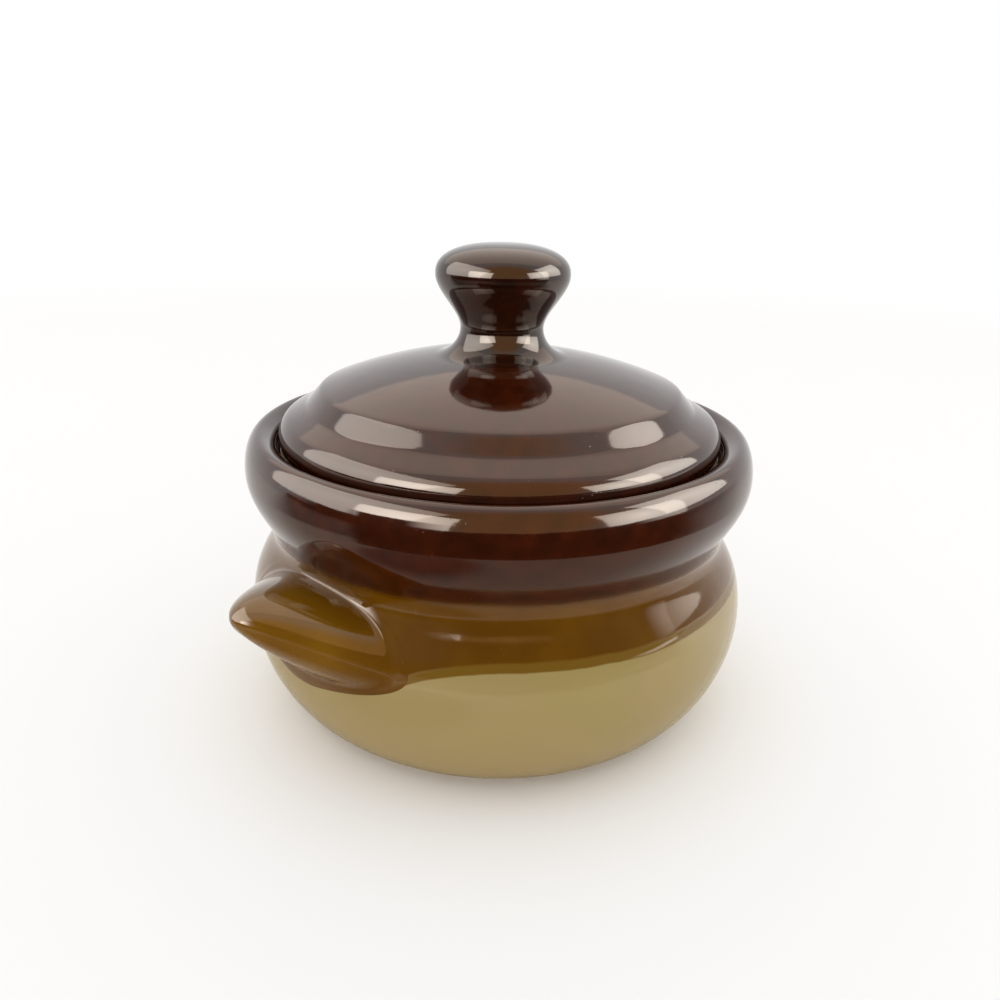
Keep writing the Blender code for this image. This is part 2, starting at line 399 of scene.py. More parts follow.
@dataclass(frozen=True)
class BrownGlaze:
    """Dark iron glaze on the lid, the knob and the neck: deep red-brown, amber where it is thin."""

    deep: Colour = (0.024, 0.0042, 0.0010)
    red: Colour = (0.046, 0.0074, 0.0014)
    amber: Colour = (0.085, 0.0270, 0.0060)
    amber_cover: float = 0.22
    # Lighter colour in the pinholes: partly burst bubbles, partly a painted glint that they catch.
    burst_and_glint: Colour = (0.17, 0.11, 0.08)
    burst_and_glint_cover: float = 0.35
    hole_roughness: float = 0.25
    mottle: Cloud = Cloud(4.5, 5.0, 1.0)
    streaks: Cloud = Cloud(1.3, 3.0, 2.0, 0.10, 0.30)
    coat: GlazeCoat = GlazeCoat()
    clay: BareClay = BareClay()

    def colour(self, sheet: GlazeSheet) -> Socket:
        """Mottled brown with amber flecks."""
        ground = sheet.mixed(sheet.patches(self.mottle), self.deep, self.red)
        return sheet.mixed(sheet.patches(self.streaks) * self.amber_cover, ground, self.amber)

    def material(self, name: str) -> Material:
        """The glaze as a material, with bare clay where the piece says so.

        Args:
            name: Name of the material.

        Returns:
            The material.
        """
        made = bpy.data.materials.new(name)
        sheet = GlazeSheet.of(made)
        bare = sheet.bare()
        holes = self.coat.pinholes(sheet)
        # Pinholes get a lighter colour: partly burst bubbles, partly a painted glint.
        glaze = sheet.mixed(holes * self.burst_and_glint_cover, self.colour(sheet), self.burst_and_glint)
        colour = sheet.mixed(bare, glaze, self.clay.colour(sheet))
        gloss = self.coat.gloss(sheet, holes, self.hole_roughness)
        roughness = gloss + bare * (self.clay.roughness - self.coat.roughness)
        relief = self.coat.relief(sheet) + holes * self.coat.pinhole + self.clay.relief(sheet) * bare
        sheet.finish(colour, roughness, relief, self.coat)
        return made


@dataclass(frozen=True)
class BandedGlaze:
    """Buff glaze below, an ochre band dipped over it, and brown from the neck up.

    Places are in millimetres, and the steps in relief in metres.
    """

    buff: Colour = (0.335, 0.258, 0.095)
    buff_warm: Colour = (0.348, 0.255, 0.108)
    ochre: Colour = (0.112, 0.042, 0.0011)
    ochre_light: Colour = (0.185, 0.083, 0.0036)
    ochre_speck: Colour = (0.27, 0.165, 0.045)
    overlap: Colour = (0.170, 0.090, 0.0100)
    speck: Colour = (0.100, 0.058, 0.0200)
    cloud_cover: float = 0.40
    # How much lighter the lug's ochre gets out from the wall: partly thin glaze, partly a painted sheen.
    thin_and_sheen_cover: float = 0.60
    ochre_speck_cover: float = 0.35
    speck_cover: float = 0.75
    ochre_edge: float = 36.9
    ochre_blend: float = 0.22
    ochre_step: float = 0.00003
    overlap_width: float = 1.9
    overlap_blend: float = 0.35
    overlap_step: float = 0.00007
    brown_edge: float = 50.2
    brown_blend: float = 1.5
    brown_wave: float = 2.2
    brown_step: float = 0.00004
    dip_depth: float = 11.9
    dip_angle: float = 0.454
    dip_sharpness: float = 2.6
    long_wave: float = 1.6
    short_wave: float = 0.5
    hole_depth: float = 0.6
    hole_roughness: float = 0.20
    long_cloud: Cloud = Cloud(22.0, 1.0, 3.0)
    short_cloud: Cloud = Cloud(5.0, 2.0, 4.0)
    ochre_cloud: Cloud = Cloud(10.0, 4.0, 5.0, -0.2, 0.3)
    ochre_dots: Dots = Dots(1.2, 0.30, 0.25, 6.0)
    buff_cloud: Cloud = Cloud(24.0, 3.0, 7.0)
    buff_dots: Dots = Dots(7.0, 0.55, 0.35, 8.0)
    brown_cloud: Cloud = Cloud(15.0, 3.0, 9.0)
    brown: BrownGlaze = BrownGlaze()

    def above_edge(self, sheet: GlazeSheet) -> Socket:
        """Height above the lower edge of the ochre band, which is wavy and dips under the lug.

        Args:
            sheet: The material to write on.

        Returns:
            The height in millimetres.
        """
        turn = sheet.maths("ABSOLUTE", sheet.maths("ARCTAN2", sheet.along, sheet.across))
        fall = sheet.maths("EXPONENT", ((turn / self.dip_angle) ** self.dip_sharpness) * -1.0)
        long_wave = sheet.cloud(self.long_cloud) * self.long_wave
        wave = long_wave + sheet.cloud(self.short_cloud) * self.short_wave
        return sheet.height - self.ochre_edge + fall * self.dip_depth + wave

    def ochre_colour(self, sheet: GlazeSheet) -> Socket:
        """Ochre with lighter clouds and fine pale specks, lighter still out along the lug: partly where the
        coat lies thin, partly a painted sheen.

        Args:
            sheet: The material to write on.

        Returns:
            The colour.
        """
        # Lighter out along the lug: partly thin glaze, partly a painted sheen.
        light = sheet.patches(self.ochre_cloud) * self.cloud_cover + sheet.carried("thin_and_sheen") * self.thin_and_sheen_cover
        ground = sheet.mixed(light, self.ochre, self.ochre_light)
        return sheet.mixed(sheet.dots(self.ochre_dots) * self.ochre_speck_cover, ground, self.ochre_speck)

    def buff_colour(self, sheet: GlazeSheet) -> Socket:
        """Buff with slow warm clouds and a few small iron specks."""
        ground = sheet.mixed(sheet.patches(self.buff_cloud), self.buff, self.buff_warm)
        return sheet.mixed(sheet.dots(self.buff_dots) * self.speck_cover, ground, self.speck)

    def material(self, name: str, on_lug: bool = False) -> Material:
        """The bands as a material.

        Args:
            name: Name of the material.
            on_lug: Whether it is for the lug, which the ochre covers whole.

        Returns:
            The material.
        """
        made = bpy.data.materials.new(name)
        sheet = GlazeSheet.of(made)
        coat = self.brown.coat
        clay = self.brown.clay
        bare = sheet.bare()
        rise = sheet.height - self.brown_edge + sheet.cloud(self.brown_cloud) * self.brown_wave
        brown = rise.eased(-self.brown_blend, self.brown_blend).at_least(sheet.carried("lining"))
        holes = coat.pinholes(sheet)
        relief = coat.relief(sheet) + holes * (coat.pinhole * self.hole_depth)
        colour = self.ochre_colour(sheet)
        if not on_lug:
            above = self.above_edge(sheet)
            dipped = above.eased(-self.ochre_blend, self.ochre_blend)
            full = (above - self.overlap_width).eased(-self.overlap_blend, self.overlap_blend)
            band = sheet.mixed(full, self.overlap, colour)
            colour = sheet.mixed(dipped, self.buff_colour(sheet), band)
            relief = relief + dipped * self.ochre_step + full * self.overlap_step
        colour = sheet.mixed(brown, colour, self.brown.colour(sheet))
        colour = sheet.mixed(bare, colour, clay.colour(sheet))
        gloss = coat.gloss(sheet, holes, self.hole_roughness)
        roughness = gloss + bare * (clay.roughness - coat.roughness)
        relief = relief + brown * self.brown_step + clay.relief(sheet) * bare
        sheet.finish(colour, roughness, relief, coat)
        return made


def placed(name: str, data: ID) -> Object:
    """Put a new object in the scene.

    Args:
        name: Its name.
        data: Its mesh, lamp or camera data.

    Returns:
        The object.
    """
    made = bpy.data.objects.new(name, data)
    bpy.context.scene.collection.objects.link(made)
    return made


def skinned(name: str, shape: bmesh.types.BMesh) -> Object:
    """Make a shape an object in the scene.

    Args:
        name: Name of the object.
        shape: The shape, which is used up.

    Returns:
        The object.
    """
    mesh = bpy.data.meshes.new(name)
    shape.to_mesh(mesh)
    shape.free()
    return placed(name, mesh)


def bezier(start: Point, pull_start: Point, pull_end: Point, end: Point, rows: Rows = Rows.FINE) -> Points:
    """Points of a cubic Bezier curve, without its first point.

    Args:
        start: First point.
        pull_start: Where the curve heads for at its start.
        pull_end: Where it comes from at its end.
        end: Last point.
        rows: Spacing of the points.

    Returns:
        The points.
    """
    corners = np.array([start, pull_start, pull_end, end])
    outer = np.linalg.norm(np.diff(corners, axis=0), axis=1).sum()
    length = (outer + np.linalg.norm(corners[3] - corners[0])) / 2
    count = max(LEAST_ROWS, math.ceil(length / rows.value))
    t = np.linspace(0.0, 1.0, count + 1)[1:, None]
    weights = np.hstack([(1 - t) ** 3, 3 * t * (1 - t) ** 2, 3 * t * t * (1 - t), t ** 3])
    return [tuple(point) for point in weights @ corners]


def upright(start: Point, end: Point, pull_start: float, pull_end: float, rows: Rows = Rows.FINE) -> Points:
    """A curve that leaves its start and reaches its end upright.

    Args:
        start: First point, which is left out.
        end: Last point.
        pull_start: How far it stays upright after its start, as a share of its rise.
        pull_end: How far it is upright before its end, likewise.
        rows: Spacing of the points.

    Returns:
        The points.
    """
    rise = end[1] - start[1]
    near = (start[0], start[1] + pull_start * rise)
    far = (end[0], end[1] - pull_end * rise)
    return bezier(start, near, far, end, rows)


def quarter(start: Point, end: Point, level_first: bool, rows: Rows = Rows.FINE) -> Points:
    """A quarter ellipse.

    Args:
        start: First point, which is left out.
        end: Last point.
        level_first: Whether it is level at start, or else upright there.
        rows: Spacing of the points.

    Returns:
        The points.
    """
    run = end[0] - start[0]
    rise = end[1] - start[1]
    count = max(LEAST_ROWS, math.ceil(ARC_PER_CHORD * math.hypot(run, rise) / rows.value))
    angles = np.linspace(0.0, math.pi / 2, count + 1)[1:]
    ahead = np.sin(angles)
    behind = 1 - np.cos(angles)
    across, up = (ahead, behind) if level_first else (behind, ahead)
    return [(start[0] + run * a, start[1] + rise * u) for a, u in zip(across, up)]


def straight(start: Point, end: Point, rows: Rows = Rows.FINE) -> Points:
    """Points of a straight run, without its first point."""
    count = max(1, math.ceil(math.dist(start, end) / rows.value))
    return [tuple(np.array(start) + (np.array(end) - start) * i / count) for i in range(1, count + 1)]


def eased_corner(before: Point, corner: Point, after: Point, reach: float) -> Points:
    """A corner between two straight runs, eased on both sides.

    Args:
        before: A point of the run that comes in.
        corner: The corner.
        after: A point of the run that goes out.
        reach: Distance from the corner at which the easing starts and ends.

    Returns:
        The points, with the first one.
    """
    peak = np.array(corner)
    back = np.array(before) - peak
    ahead = np.array(after) - peak
    start = tuple(peak + reach * back / np.linalg.norm(back))
    end = tuple(peak + reach * ahead / np.linalg.norm(ahead))
    return [start] + bezier(start, corner, corner, end)


def rippled(points: Points, depth: float, pace: float, calm: float) -> Points:
    """Throwing rings on a flat stretch, which die out within a calm middle."""
    return [(r, z + depth * math.sin(r * pace) * min(1.0, r / calm)) for r, z in points]


class Outline:
    """A turned piece's profile, with what each stretch of it is covered with."""

    CARRIED = ("lining", "bare")

    def __init__(self) -> None:
        """Start with no points."""
        self.points: Points = []
        self.covers: list[Cover] = []

    def run(self, points: Points, cover: Cover = Cover.OUTSIDE) -> None:
        """Add a stretch of points with one cover."""
        self.points += points
        self.covers += [cover] * len(points)

    def mesh(self, name: str) -> Mesh:
        """The profile as a chain of edges that carries its covers.

        Args:
            name: Name of the mesh.

        Returns:
            The mesh, in the XZ plane.
        """
        made = bpy.data.meshes.new(name)
        chain = [(i, i + 1) for i in range(len(self.points) - 1)]
        made.from_pydata([(r, 0.0, z) for r, z in self.points], chain, [])
        for place, attribute in enumerate(self.CARRIED):
            layer = made.attributes.new(attribute, "FLOAT", "POINT")
            layer.data.foreach_set("value", [cover.value[place] for cover in self.covers])
        return made


class Lathe:
    """A Geometry Nodes tree that turns a profile about Z into one closed, slightly uneven skin."""

    SEAM_WELD = 1e-6
    BUMPS_PER_METRE = 32.0

    def __init__(self) -> None:
        """Build the tree with its named inputs."""
        self.tree = bpy.data.node_groups.new("turned_piece", "GeometryNodeTree")
        self.entries: dict[str, str] = {}
        for name, kind in (
            ("Profile", "NodeSocketGeometry"),
            ("Steps", "NodeSocketInt"),
            ("Unevenness", "NodeSocketFloat"),
            ("Seed", "NodeSocketFloat"),
            ("Finish", "NodeSocketMaterial"),
        ):
            entry = self.tree.interface.new_socket(name=name, in_out="INPUT", socket_type=kind)
            self.entries[name] = entry.identifier
        self.tree.interface.new_socket(name="Skin", in_out="OUTPUT", socket_type="NodeSocketGeometry")
        self.draw(NodeSheet(self.tree))

    def draw(self, sheet: NodeSheet) -> None:
        """Place the tree's nodes.

        Args:
            sheet: The tree to write on.
        """
        entry = sheet.node("NodeGroupInput", output="Profile")
        mesh_part = {"component": "MESH"}
        size = sheet.node("GeometryNodeAttributeDomainSize", mesh_part, {"Geometry": entry}, "Point Count")
        counts = {"Vertices X": entry["Steps"] + 1.0, "Vertices Y": size}
        grid = sheet.node("GeometryNodeMeshGrid", sockets=counts, output="Mesh")
        index = sheet.node("GeometryNodeInputIndex")
        turn = sheet.maths("FLOOR", (index + 0.5) / size)
        row = index - turn * size
        angle = turn * (2.0 * math.pi) / entry["Steps"]

        def at_row(value: Socket, kind: str) -> Socket:
            """What the profile carries at each row.

            Args:
                value: What is read.
                kind: Its data type.

            Returns:
                The value at the row.
            """
            sockets = {"Geometry": entry, "Value": value, "Index": row}
            settings = {"data_type": kind, "domain": "POINT"}
            return sheet.node("GeometryNodeSampleIndex", settings, sockets, "Value")

        where = at_row(sheet.node("GeometryNodeInputPosition"), "FLOAT_VECTOR")
        parts = sheet.node("ShaderNodeSeparateXYZ", sockets={"Vector": where})
        radius = parts["X"]
        across = radius * sheet.maths("COSINE", angle)
        along = radius * sheet.maths("SINE", angle)
        place = sheet.node("ShaderNodeCombineXYZ", sockets={"X": across, "Y": along, "Z": parts["Z"]})
        skin = sheet.node("GeometryNodeSetPosition", sockets={"Geometry": grid, "Position": place})
        for name in Outline.CARRIED:
            held = sheet.node("GeometryNodeInputNamedAttribute", {"data_type": "FLOAT"}, {"Name": name})
            sockets = {"Geometry": skin, "Name": name, "Value": at_row(held, "FLOAT")}
            stored = {"data_type": "FLOAT", "domain": "POINT"}
            skin = sheet.node("GeometryNodeStoreNamedAttribute", stored, sockets)
        for kind, sockets in (
            ("MergeByDistance", {"Distance": self.SEAM_WELD}),
            ("SetPosition", {"Offset": self.wander(sheet, entry)}),
            ("SetShadeSmooth", {"Shade Smooth": True}),
            ("RealizeInstances", {}),
            ("SetMaterial", {"Material": entry["Finish"]}),
        ):
            skin = sheet.node("GeometryNode" + kind, sockets={"Geometry": skin, **sockets})
        sheet.node("NodeGroupOutput", sockets={"Skin": skin})

    def wander(self, sheet: NodeSheet, entry: Socket) -> Socket:
        """How far hand and kiln move a point of the skin off the true round.

        Args:
            sheet: The tree to write on.
            entry: The tree's inputs.

        Returns:
            The offset, away from the axis.
        """
        here = sheet.node("GeometryNodeInputPosition")
        sockets = {"Vector": here, "W": entry["Seed"], "Scale": self.BUMPS_PER_METRE, "Detail": 1.0}
        noise = sheet.node("ShaderNodeTexNoise", {"noise_dimensions": "4D"}, sockets, "Fac")
        outward = sheet.vector("NORMALIZE", sheet.vector("MULTIPLY", here, (1.0, 1.0, 0.0)))
        amount = (noise - 0.5) * 2.0 * entry["Unevenness"]
        scaled = {"Vector": outward, "Scale": amount}
        return sheet.node("ShaderNodeVectorMath", {"operation": "SCALE"}, scaled)

    def turned(
        self,
        name: str,
        outline: Outline,
        steps: int,
        unevenness: float,
        seed: float,
        finish: Material,
    ) -> Object:
        """Turn a profile into a piece.

        Args:
            name: Name of the piece.
            outline: Its profile, which starts and ends on the axis.
            steps: Faces around.
            unevenness: Largest departure from the true round, in metres.
            seed: Picks the pattern of that departure.
            finish: Material.

        Returns:
            The piece, as a plain mesh.
        """
        profile = outline.mesh(name + "_profile")
        piece = placed(name, profile)
        modifier = piece.modifiers.new("turned", "NODES")
        modifier.node_group = self.tree
        settings = {"Steps": steps, "Unevenness": unevenness, "Seed": seed, "Finish": finish}
        for key, value in settings.items():
            modifier[self.entries[key]] = value
        depsgraph = bpy.context.evaluated_depsgraph_get()
        skin = bpy.data.meshes.new_from_object(
            piece.evaluated_get(depsgraph), preserve_all_data_layers=True, depsgraph=depsgraph
        )
        piece.modifiers.clear()
        piece.data = skin
        skin.name = name
        bpy.data.meshes.remove(profile)
        outward(skin)
        return piece


def outward(mesh: Mesh) -> None:
    """Weld a closed mesh and turn its faces outwards.

    Args:
        mesh: The mesh, which is changed.
    """
    shape = bmesh.new()
    shape.from_mesh(mesh)
    bmesh.ops.remove_doubles(shape, verts=shape.verts, dist=WELD)
    bmesh.ops.recalc_face_normals(shape, faces=shape.faces)
    shape.to_mesh(mesh)
    shape.free()


def settle(piece: Object, body: Body, node: str) -> None:
    """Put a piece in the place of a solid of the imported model.

    Args:
        piece: The finished piece.
        body: The body it moves with.
        node: The solid it stands for.
    """
    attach(piece, body.value)
    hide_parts(node)
    LOG.info("%s: %d faces, moves with %s", piece.name, len(piece.data.polygons), body.value)


@dataclass
class Pot:
    """The turned pot, from the bare base to the rolled rim, with a ledge inside for the lid."""

    base_radius: float = 0.0500
    base_round: float = 0.0014
    belly_radius: float = 0.0653
    belly_rise: float = 0.0265
    neck_inset: float = 0.0066
    neck_rise: float = 0.0205
    rim_flare: float = 0.0058
    rim_rise: float = 0.0168
    rim_crown: float = 0.0088
    rim_width: float = 0.0077
    rim_crest_inset: float = 0.0039
    wall: float = 0.0060
    floor: float = 0.0065
    floor_inset: float = 0.0110
    ledge_depth: float = 0.0057
    ledge_width: float = 0.0058
    ledge_round: float = 0.0012
    mouth_fall: float = 0.0027
    mouth_ease: float = 0.35
    rim_undercut: float = 0.42
    neck_hollow: Pair = (0.30, 0.20)
    belly_fullness: float = 0.66
    under_belly_level: float = 0.58
    foot_spread: float = 0.50
    foot_lift: float = 0.08
    inside_fullness: float = 0.60
    inside_hollow: float = 0.30
    throat_ease: float = 0.35
    floor_rings: Pair = (0.00018, 950.0)
    wall_rings: Pair = (0.00016, 1050.0)
    calm_middle: float = 0.004
    steps: int = 320
    unevenness: float = 0.00009
    seed: float = 1.7

    def __post_init__(self) -> None:
        """Work out the places that follow from the sizes."""
        self.neck = (self.belly_radius - self.neck_inset, self.belly_rise + self.neck_rise)
        self.rim = (self.neck[0] + self.rim_flare, self.neck[1] + self.rim_rise)
        self.top = self.rim[1] + self.rim_crown
        self.crest = (self.rim[0] - self.rim_crest_inset, self.top)
        self.belly = (self.belly_radius, self.belly_rise)
        self.foot = (self.base_radius + self.base_round, self.base_round)
        self.mouth_radius = self.rim[0] - self.rim_width
        self.throat_radius = self.mouth_radius - self.ledge_width
        self.ledge = self.top - self.ledge_depth
        self.outside = self.outer_wall()
        self.wall_table = np.array(self.outside[::-1])

    def outer_wall(self) -> Points:
        """The outer wall, from the crest of the rim down to the foot.

        Returns:
            The points.
        """
        under_belly = (self.belly_radius, self.under_belly_level * self.belly_rise)
        over_foot = (
            self.foot[0] + self.foot_spread * (self.belly_radius - self.foot[0]),
            self.foot[1] + self.foot_lift * self.belly_rise,
        )
        points = [self.crest]
        points += quarter(self.crest, self.rim, True)
        points += upright(self.rim, self.neck, self.rim_undercut, self.neck_hollow[0], Rows.PLAIN)
        points += upright(self.neck, self.belly, self.neck_hollow[1], self.belly_fullness, Rows.PLAIN)
        points += bezier(self.belly, under_belly, over_foot, self.foot, Rows.PLAIN)
        return points

    def inner_wall(self) -> Points:
        """The inner wall, from the centre of the floor up to the throat, with faint throwing rings.

        Returns:
            The points.
        """
        floor_edge = (self.base_radius - self.floor_inset, self.floor)
        belly = (self.belly_radius - self.wall, self.belly_rise)
        neck = (self.neck[0] - self.wall, self.neck[1])
        throat = (self.throat_radius, self.ledge - self.ledge_round)
        fullness = self.inside_fullness
        along_floor = (floor_edge[0] + fullness * (belly[0] - floor_edge[0]), self.floor)
        under_belly = (belly[0], self.belly_rise - fullness * (self.belly_rise - self.floor))
        flat = [(0.0, self.floor)] + straight((0.0, self.floor), floor_edge, Rows.HIDDEN)
        points = bezier(floor_edge, along_floor, under_belly, belly, Rows.HIDDEN)
        points += upright(belly, neck, fullness, self.inside_hollow, Rows.HIDDEN)
        depth, pace = self.wall_rings
        ringed = [(r + depth * math.sin(z * pace), z) for r, z in points]
        above = upright(neck, throat, self.throat_ease, self.throat_ease, Rows.HIDDEN)
        return rippled(flat, *self.floor_rings, self.calm_middle) + ringed + above

    def outline(self) -> Outline:
        """The whole profile, from the middle of the floor over the rim to the middle of the base.

        Returns:
            The profile.
        """
        throat = (self.throat_radius, self.ledge - self.ledge_round)
        lip = (self.throat_radius + self.ledge_round, self.ledge)
        heel = (self.mouth_radius - self.ledge_round, self.ledge)
        mouth_foot = (self.mouth_radius, self.ledge + self.ledge_round)
        mouth = (self.mouth_radius, self.top - self.mouth_fall)
        over_mouth = (mouth[0], mouth[1] + self.mouth_ease * self.mouth_fall)
        before_crest = (self.crest[0] - self.mouth_ease * (self.crest[0] - mouth[0]), self.top)
        edge = (self.base_radius, 0.0)
        made = Outline()
        made.run(self.inner_wall(), Cover.LINING)
        made.run(quarter(throat, lip, False), Cover.LINING)
        made.run(straight(lip, heel, Rows.PLAIN), Cover.BARE)
        made.run(quarter(heel, mouth_foot, True), Cover.LINING)
        made.run(straight(mouth_foot, mouth), Cover.LINING)
        made.run(bezier(mouth, over_mouth, before_crest, self.crest))
        made.run(self.outside[1:])
        made.run(quarter(self.foot, edge, False), Cover.BARE)
        made.run(straight(edge, (0.0, 0.0), Rows.HIDDEN), Cover.BARE)
        return made

    def radius(self, height: float) -> float:
        """Radius of the outer wall at a height."""
        return float(np.interp(height, self.wall_table[:, 1], self.wall_table[:, 0]))

    def build(self, lathe: Lathe, glaze: BandedGlaze) -> None:
        """Turn the pot, glaze it and set it in its place.

        Args:
            lathe: What turns it.
            glaze: What it is dipped in.
        """
        finish = glaze.material("banded_glaze_on_pot")
        piece = lathe.turned("pot_turned", self.outline(), self.steps, self.unevenness, self.seed, finish)
        settle(piece, Body.POT, "pot_body")


@dataclass
class Lug:
    """The lug handle: a triangular ear pulled up from the belly, with a smeared joint round its root."""

    OVAL = 2.0

    pot: Pot
    width: float = 0.0556
    above: float = 0.0134
    below: float = 0.0071
    rise: float = 0.0078
    projection: float = 0.0143
    lift: float = 0.0110
    plan_roundness: float = 0.42
    top_roundness: float = 0.95
    under_roundness: float = 1.50
    under_squareness: float = 2.3
    top_squareness: float = 1.75
    form_hold: int = 4
    smear_in: float = 0.0012
    smear_out: float = 0.0004
    smear_up: float = 0.0014
    smear_aside: float = 0.2
    smear_under: float = 1.4
    skirt: float = 0.0026
    skirt_rise: float = 0.00012
    skirt_dip: float = 0.00014
    bed: float = 0.0010
    thin_and_sheen_run: float = 0.0070
    around: int = 224
    rings: int = 44
    ring_crowding: float = 1.7
    least_flank: float = 0.55
    samples: int = 80
    smear_rings: int = 14
    skirt_steps: tuple[float, ...] = (0.2, 0.4, 0.6, 0.8, 1.0)
    bed_steps: tuple[float, ...] = (1.0, 0.6, 0.25)

    def __post_init__(self) -> None:
        """Work out the axis of the ear, from the middle of its root to its tip."""
        self.middle = self.pot.belly_rise + self.rise
        self.tip = np.array([self.pot.belly_radius + self.projection, 0.0, self.middle + self.lift])
        axis = self.tip - self.root(0.0, 0.0)
        self.axis = axis / np.linalg.norm(axis)
        self.side = np.array([0.0, 1.0, 0.0])
        self.up = np.cross(self.axis, self.side)

    def root(self, angle: float, share: float, depth: float = 0.0, squareness: float = OVAL) -> np.ndarray:
        """A point of the root on the pot's wall.

        Args:
            angle: Where around the root.
            share: How far out from its middle, 1 at its outline.
            depth: How far under the wall.
            squareness: OVAL for an oval root, more for a boxier one and less for a peaked one.

        Returns:
            The point.
        """
        across = math.cos(angle)
        climb = math.sin(angle)
        size = (abs(across) ** squareness + abs(climb) ** squareness) ** (1 / squareness)
        across /= size
        climb /= size
        height = self.middle + share * climb * (self.above if climb > 0 else self.below)
        turn = share * across * self.width / 2 / self.pot.radius(self.middle)
        radius = self.pot.radius(height) - depth
        return np.array([radius * math.cos(turn), radius * math.sin(turn), height])

    def reach(self, angle: float) -> float:
        """Distance of the root's outline from the axis of the ear."""
        offset = self.root(angle, 1.0) - self.tip
        return math.hypot(offset @ self.side, offset @ self.up)

    def softness(self, angle: float) -> float:
        """How much wider the joint is smeared here than above the ear."""
        under = max(0.0, -math.sin(angle))
        return 1.0 + self.smear_aside * math.cos(angle) ** 2 + self.smear_under * under

    def flank(self, angle: float, shares: np.ndarray) -> np.ndarray:
        """Points of the bare ear from its tip, at share 0, to the wall, at share 1.

        Args:
            angle: Where around the ear.
            shares: How far down from its tip.

        Returns:
            The points.
        """
        edge = 1 - self.smear_in / self.reach(angle)
        form = self.top_squareness if math.sin(angle) > 0 else self.under_squareness
        depth = (self.tip - self.root(angle, edge)) @ self.axis
        points = []
        for share in shares:
            squareness = self.OVAL + (form - self.OVAL) * (1.0 - share ** self.form_hold)
            rim = self.root(angle, edge, squareness=squareness) - self.tip
            side_roundness = self.top_roundness if rim @ self.up > 0 else self.under_roundness
            aside = math.sqrt(self.plan_roundness * share + (1 - self.plan_roundness) * share ** 2)
            upward = math.sqrt(side_roundness * share + (1 - side_roundness) * share ** 2)
            across = self.side * (aside * (rim @ self.side)) + self.up * (upward * (rim @ self.up))
            points.append(self.tip - self.axis * (depth * share) + across)
        return np.array(points)

    def meridian(self, angle: float) -> np.ndarray:
        """Points from just off the tip, down the flank, over the smeared joint and under the wall.

        Args:
            angle: Where around the ear.

        Returns:
            The points.
        """
        shares = np.linspace(0.0, 1.0, self.samples)
        fine = self.flank(angle, shares)
        lengths = np.concatenate([[0.0], np.cumsum(np.linalg.norm(np.diff(fine, axis=0), axis=1))])
        soft = self.softness(angle)
        flank_end = max(lengths[-1] - self.smear_up * soft, self.least_flank * lengths[-1])
        stop = np.interp(flank_end, lengths, shares)
        steps = (np.arange(1, self.rings + 1) / self.rings) ** self.ring_crowding
        flank = self.flank(angle, steps * stop)
        reach = self.reach(angle)
        out = self.smear_out * soft
        end = self.root(angle, 1 + out / reach, -self.skirt_rise)
        t = np.linspace(0.0, 1.0, self.smear_rings + 1)[1:, None]
        smear = (1 - t) ** 2 * flank[-1] + 2 * t * (1 - t) * fine[-1] + t * t * end
        skirt = []
        for part in self.skirt_steps:
            depth = (self.skirt_rise + self.skirt_dip) * part * part - self.skirt_rise
            skirt.append(self.root(angle, 1 + (out + part * self.skirt) / reach, depth))
        bed = [self.root(angle, share, self.bed) for share in self.bed_steps]
        bare = np.vstack([flank, smear])
        away = np.hypot(bare[:, 0], bare[:, 1])
        least = np.array([self.pot.radius(height) for height in bare[:, 2]]) + self.skirt_rise
        bare[:, :2] *= np.maximum(1.0, least / away)[:, None]
        return np.vstack([bare, skirt, bed])

    def build(self, glaze: BandedGlaze) -> None:
        """Skin the ear, glaze it and set it in its place.

        Args:
            glaze: What it is dipped in.
        """
        shape = bmesh.new()
        angles = np.linspace(0.0, math.tau, self.around, endpoint=False)
        meridians = [[shape.verts.new(point) for point in self.meridian(angle)] for angle in angles]
        tip = shape.verts.new(self.tip)
        heart = shape.verts.new(self.root(0.0, 0.0, self.bed))
        for near, far in zip(meridians, meridians[1:] + meridians[:1]):
            shape.faces.new((tip, near[0], far[0]))
            shape.faces.new((heart, far[-1], near[-1]))
            for i in range(len(near) - 1):
                shape.faces.new((near[i], near[i + 1], far[i + 1], far[i]))
        piece = skinned("lug_pulled", shape)
        mesh = piece.data
        outward(mesh)
        mesh.shade_smooth()
        # Lighter ochre out from the wall towards the tip: partly thin glaze, partly a painted sheen.
        away = [math.hypot(v.co.x, v.co.y) - self.pot.radius(v.co.z) for v in mesh.vertices]
        thin_and_sheen = np.clip(np.array(away) / self.thin_and_sheen_run, 0.0, 1.0)
        mesh.attributes.new("thin_and_sheen", "FLOAT", "POINT").data.foreach_set("value", thin_and_sheen.astype(np.float32))
        mesh.materials.append(glaze.material("banded_glaze_on_lug", on_lug=True))
        settle(piece, Body.POT, "lug_handle")


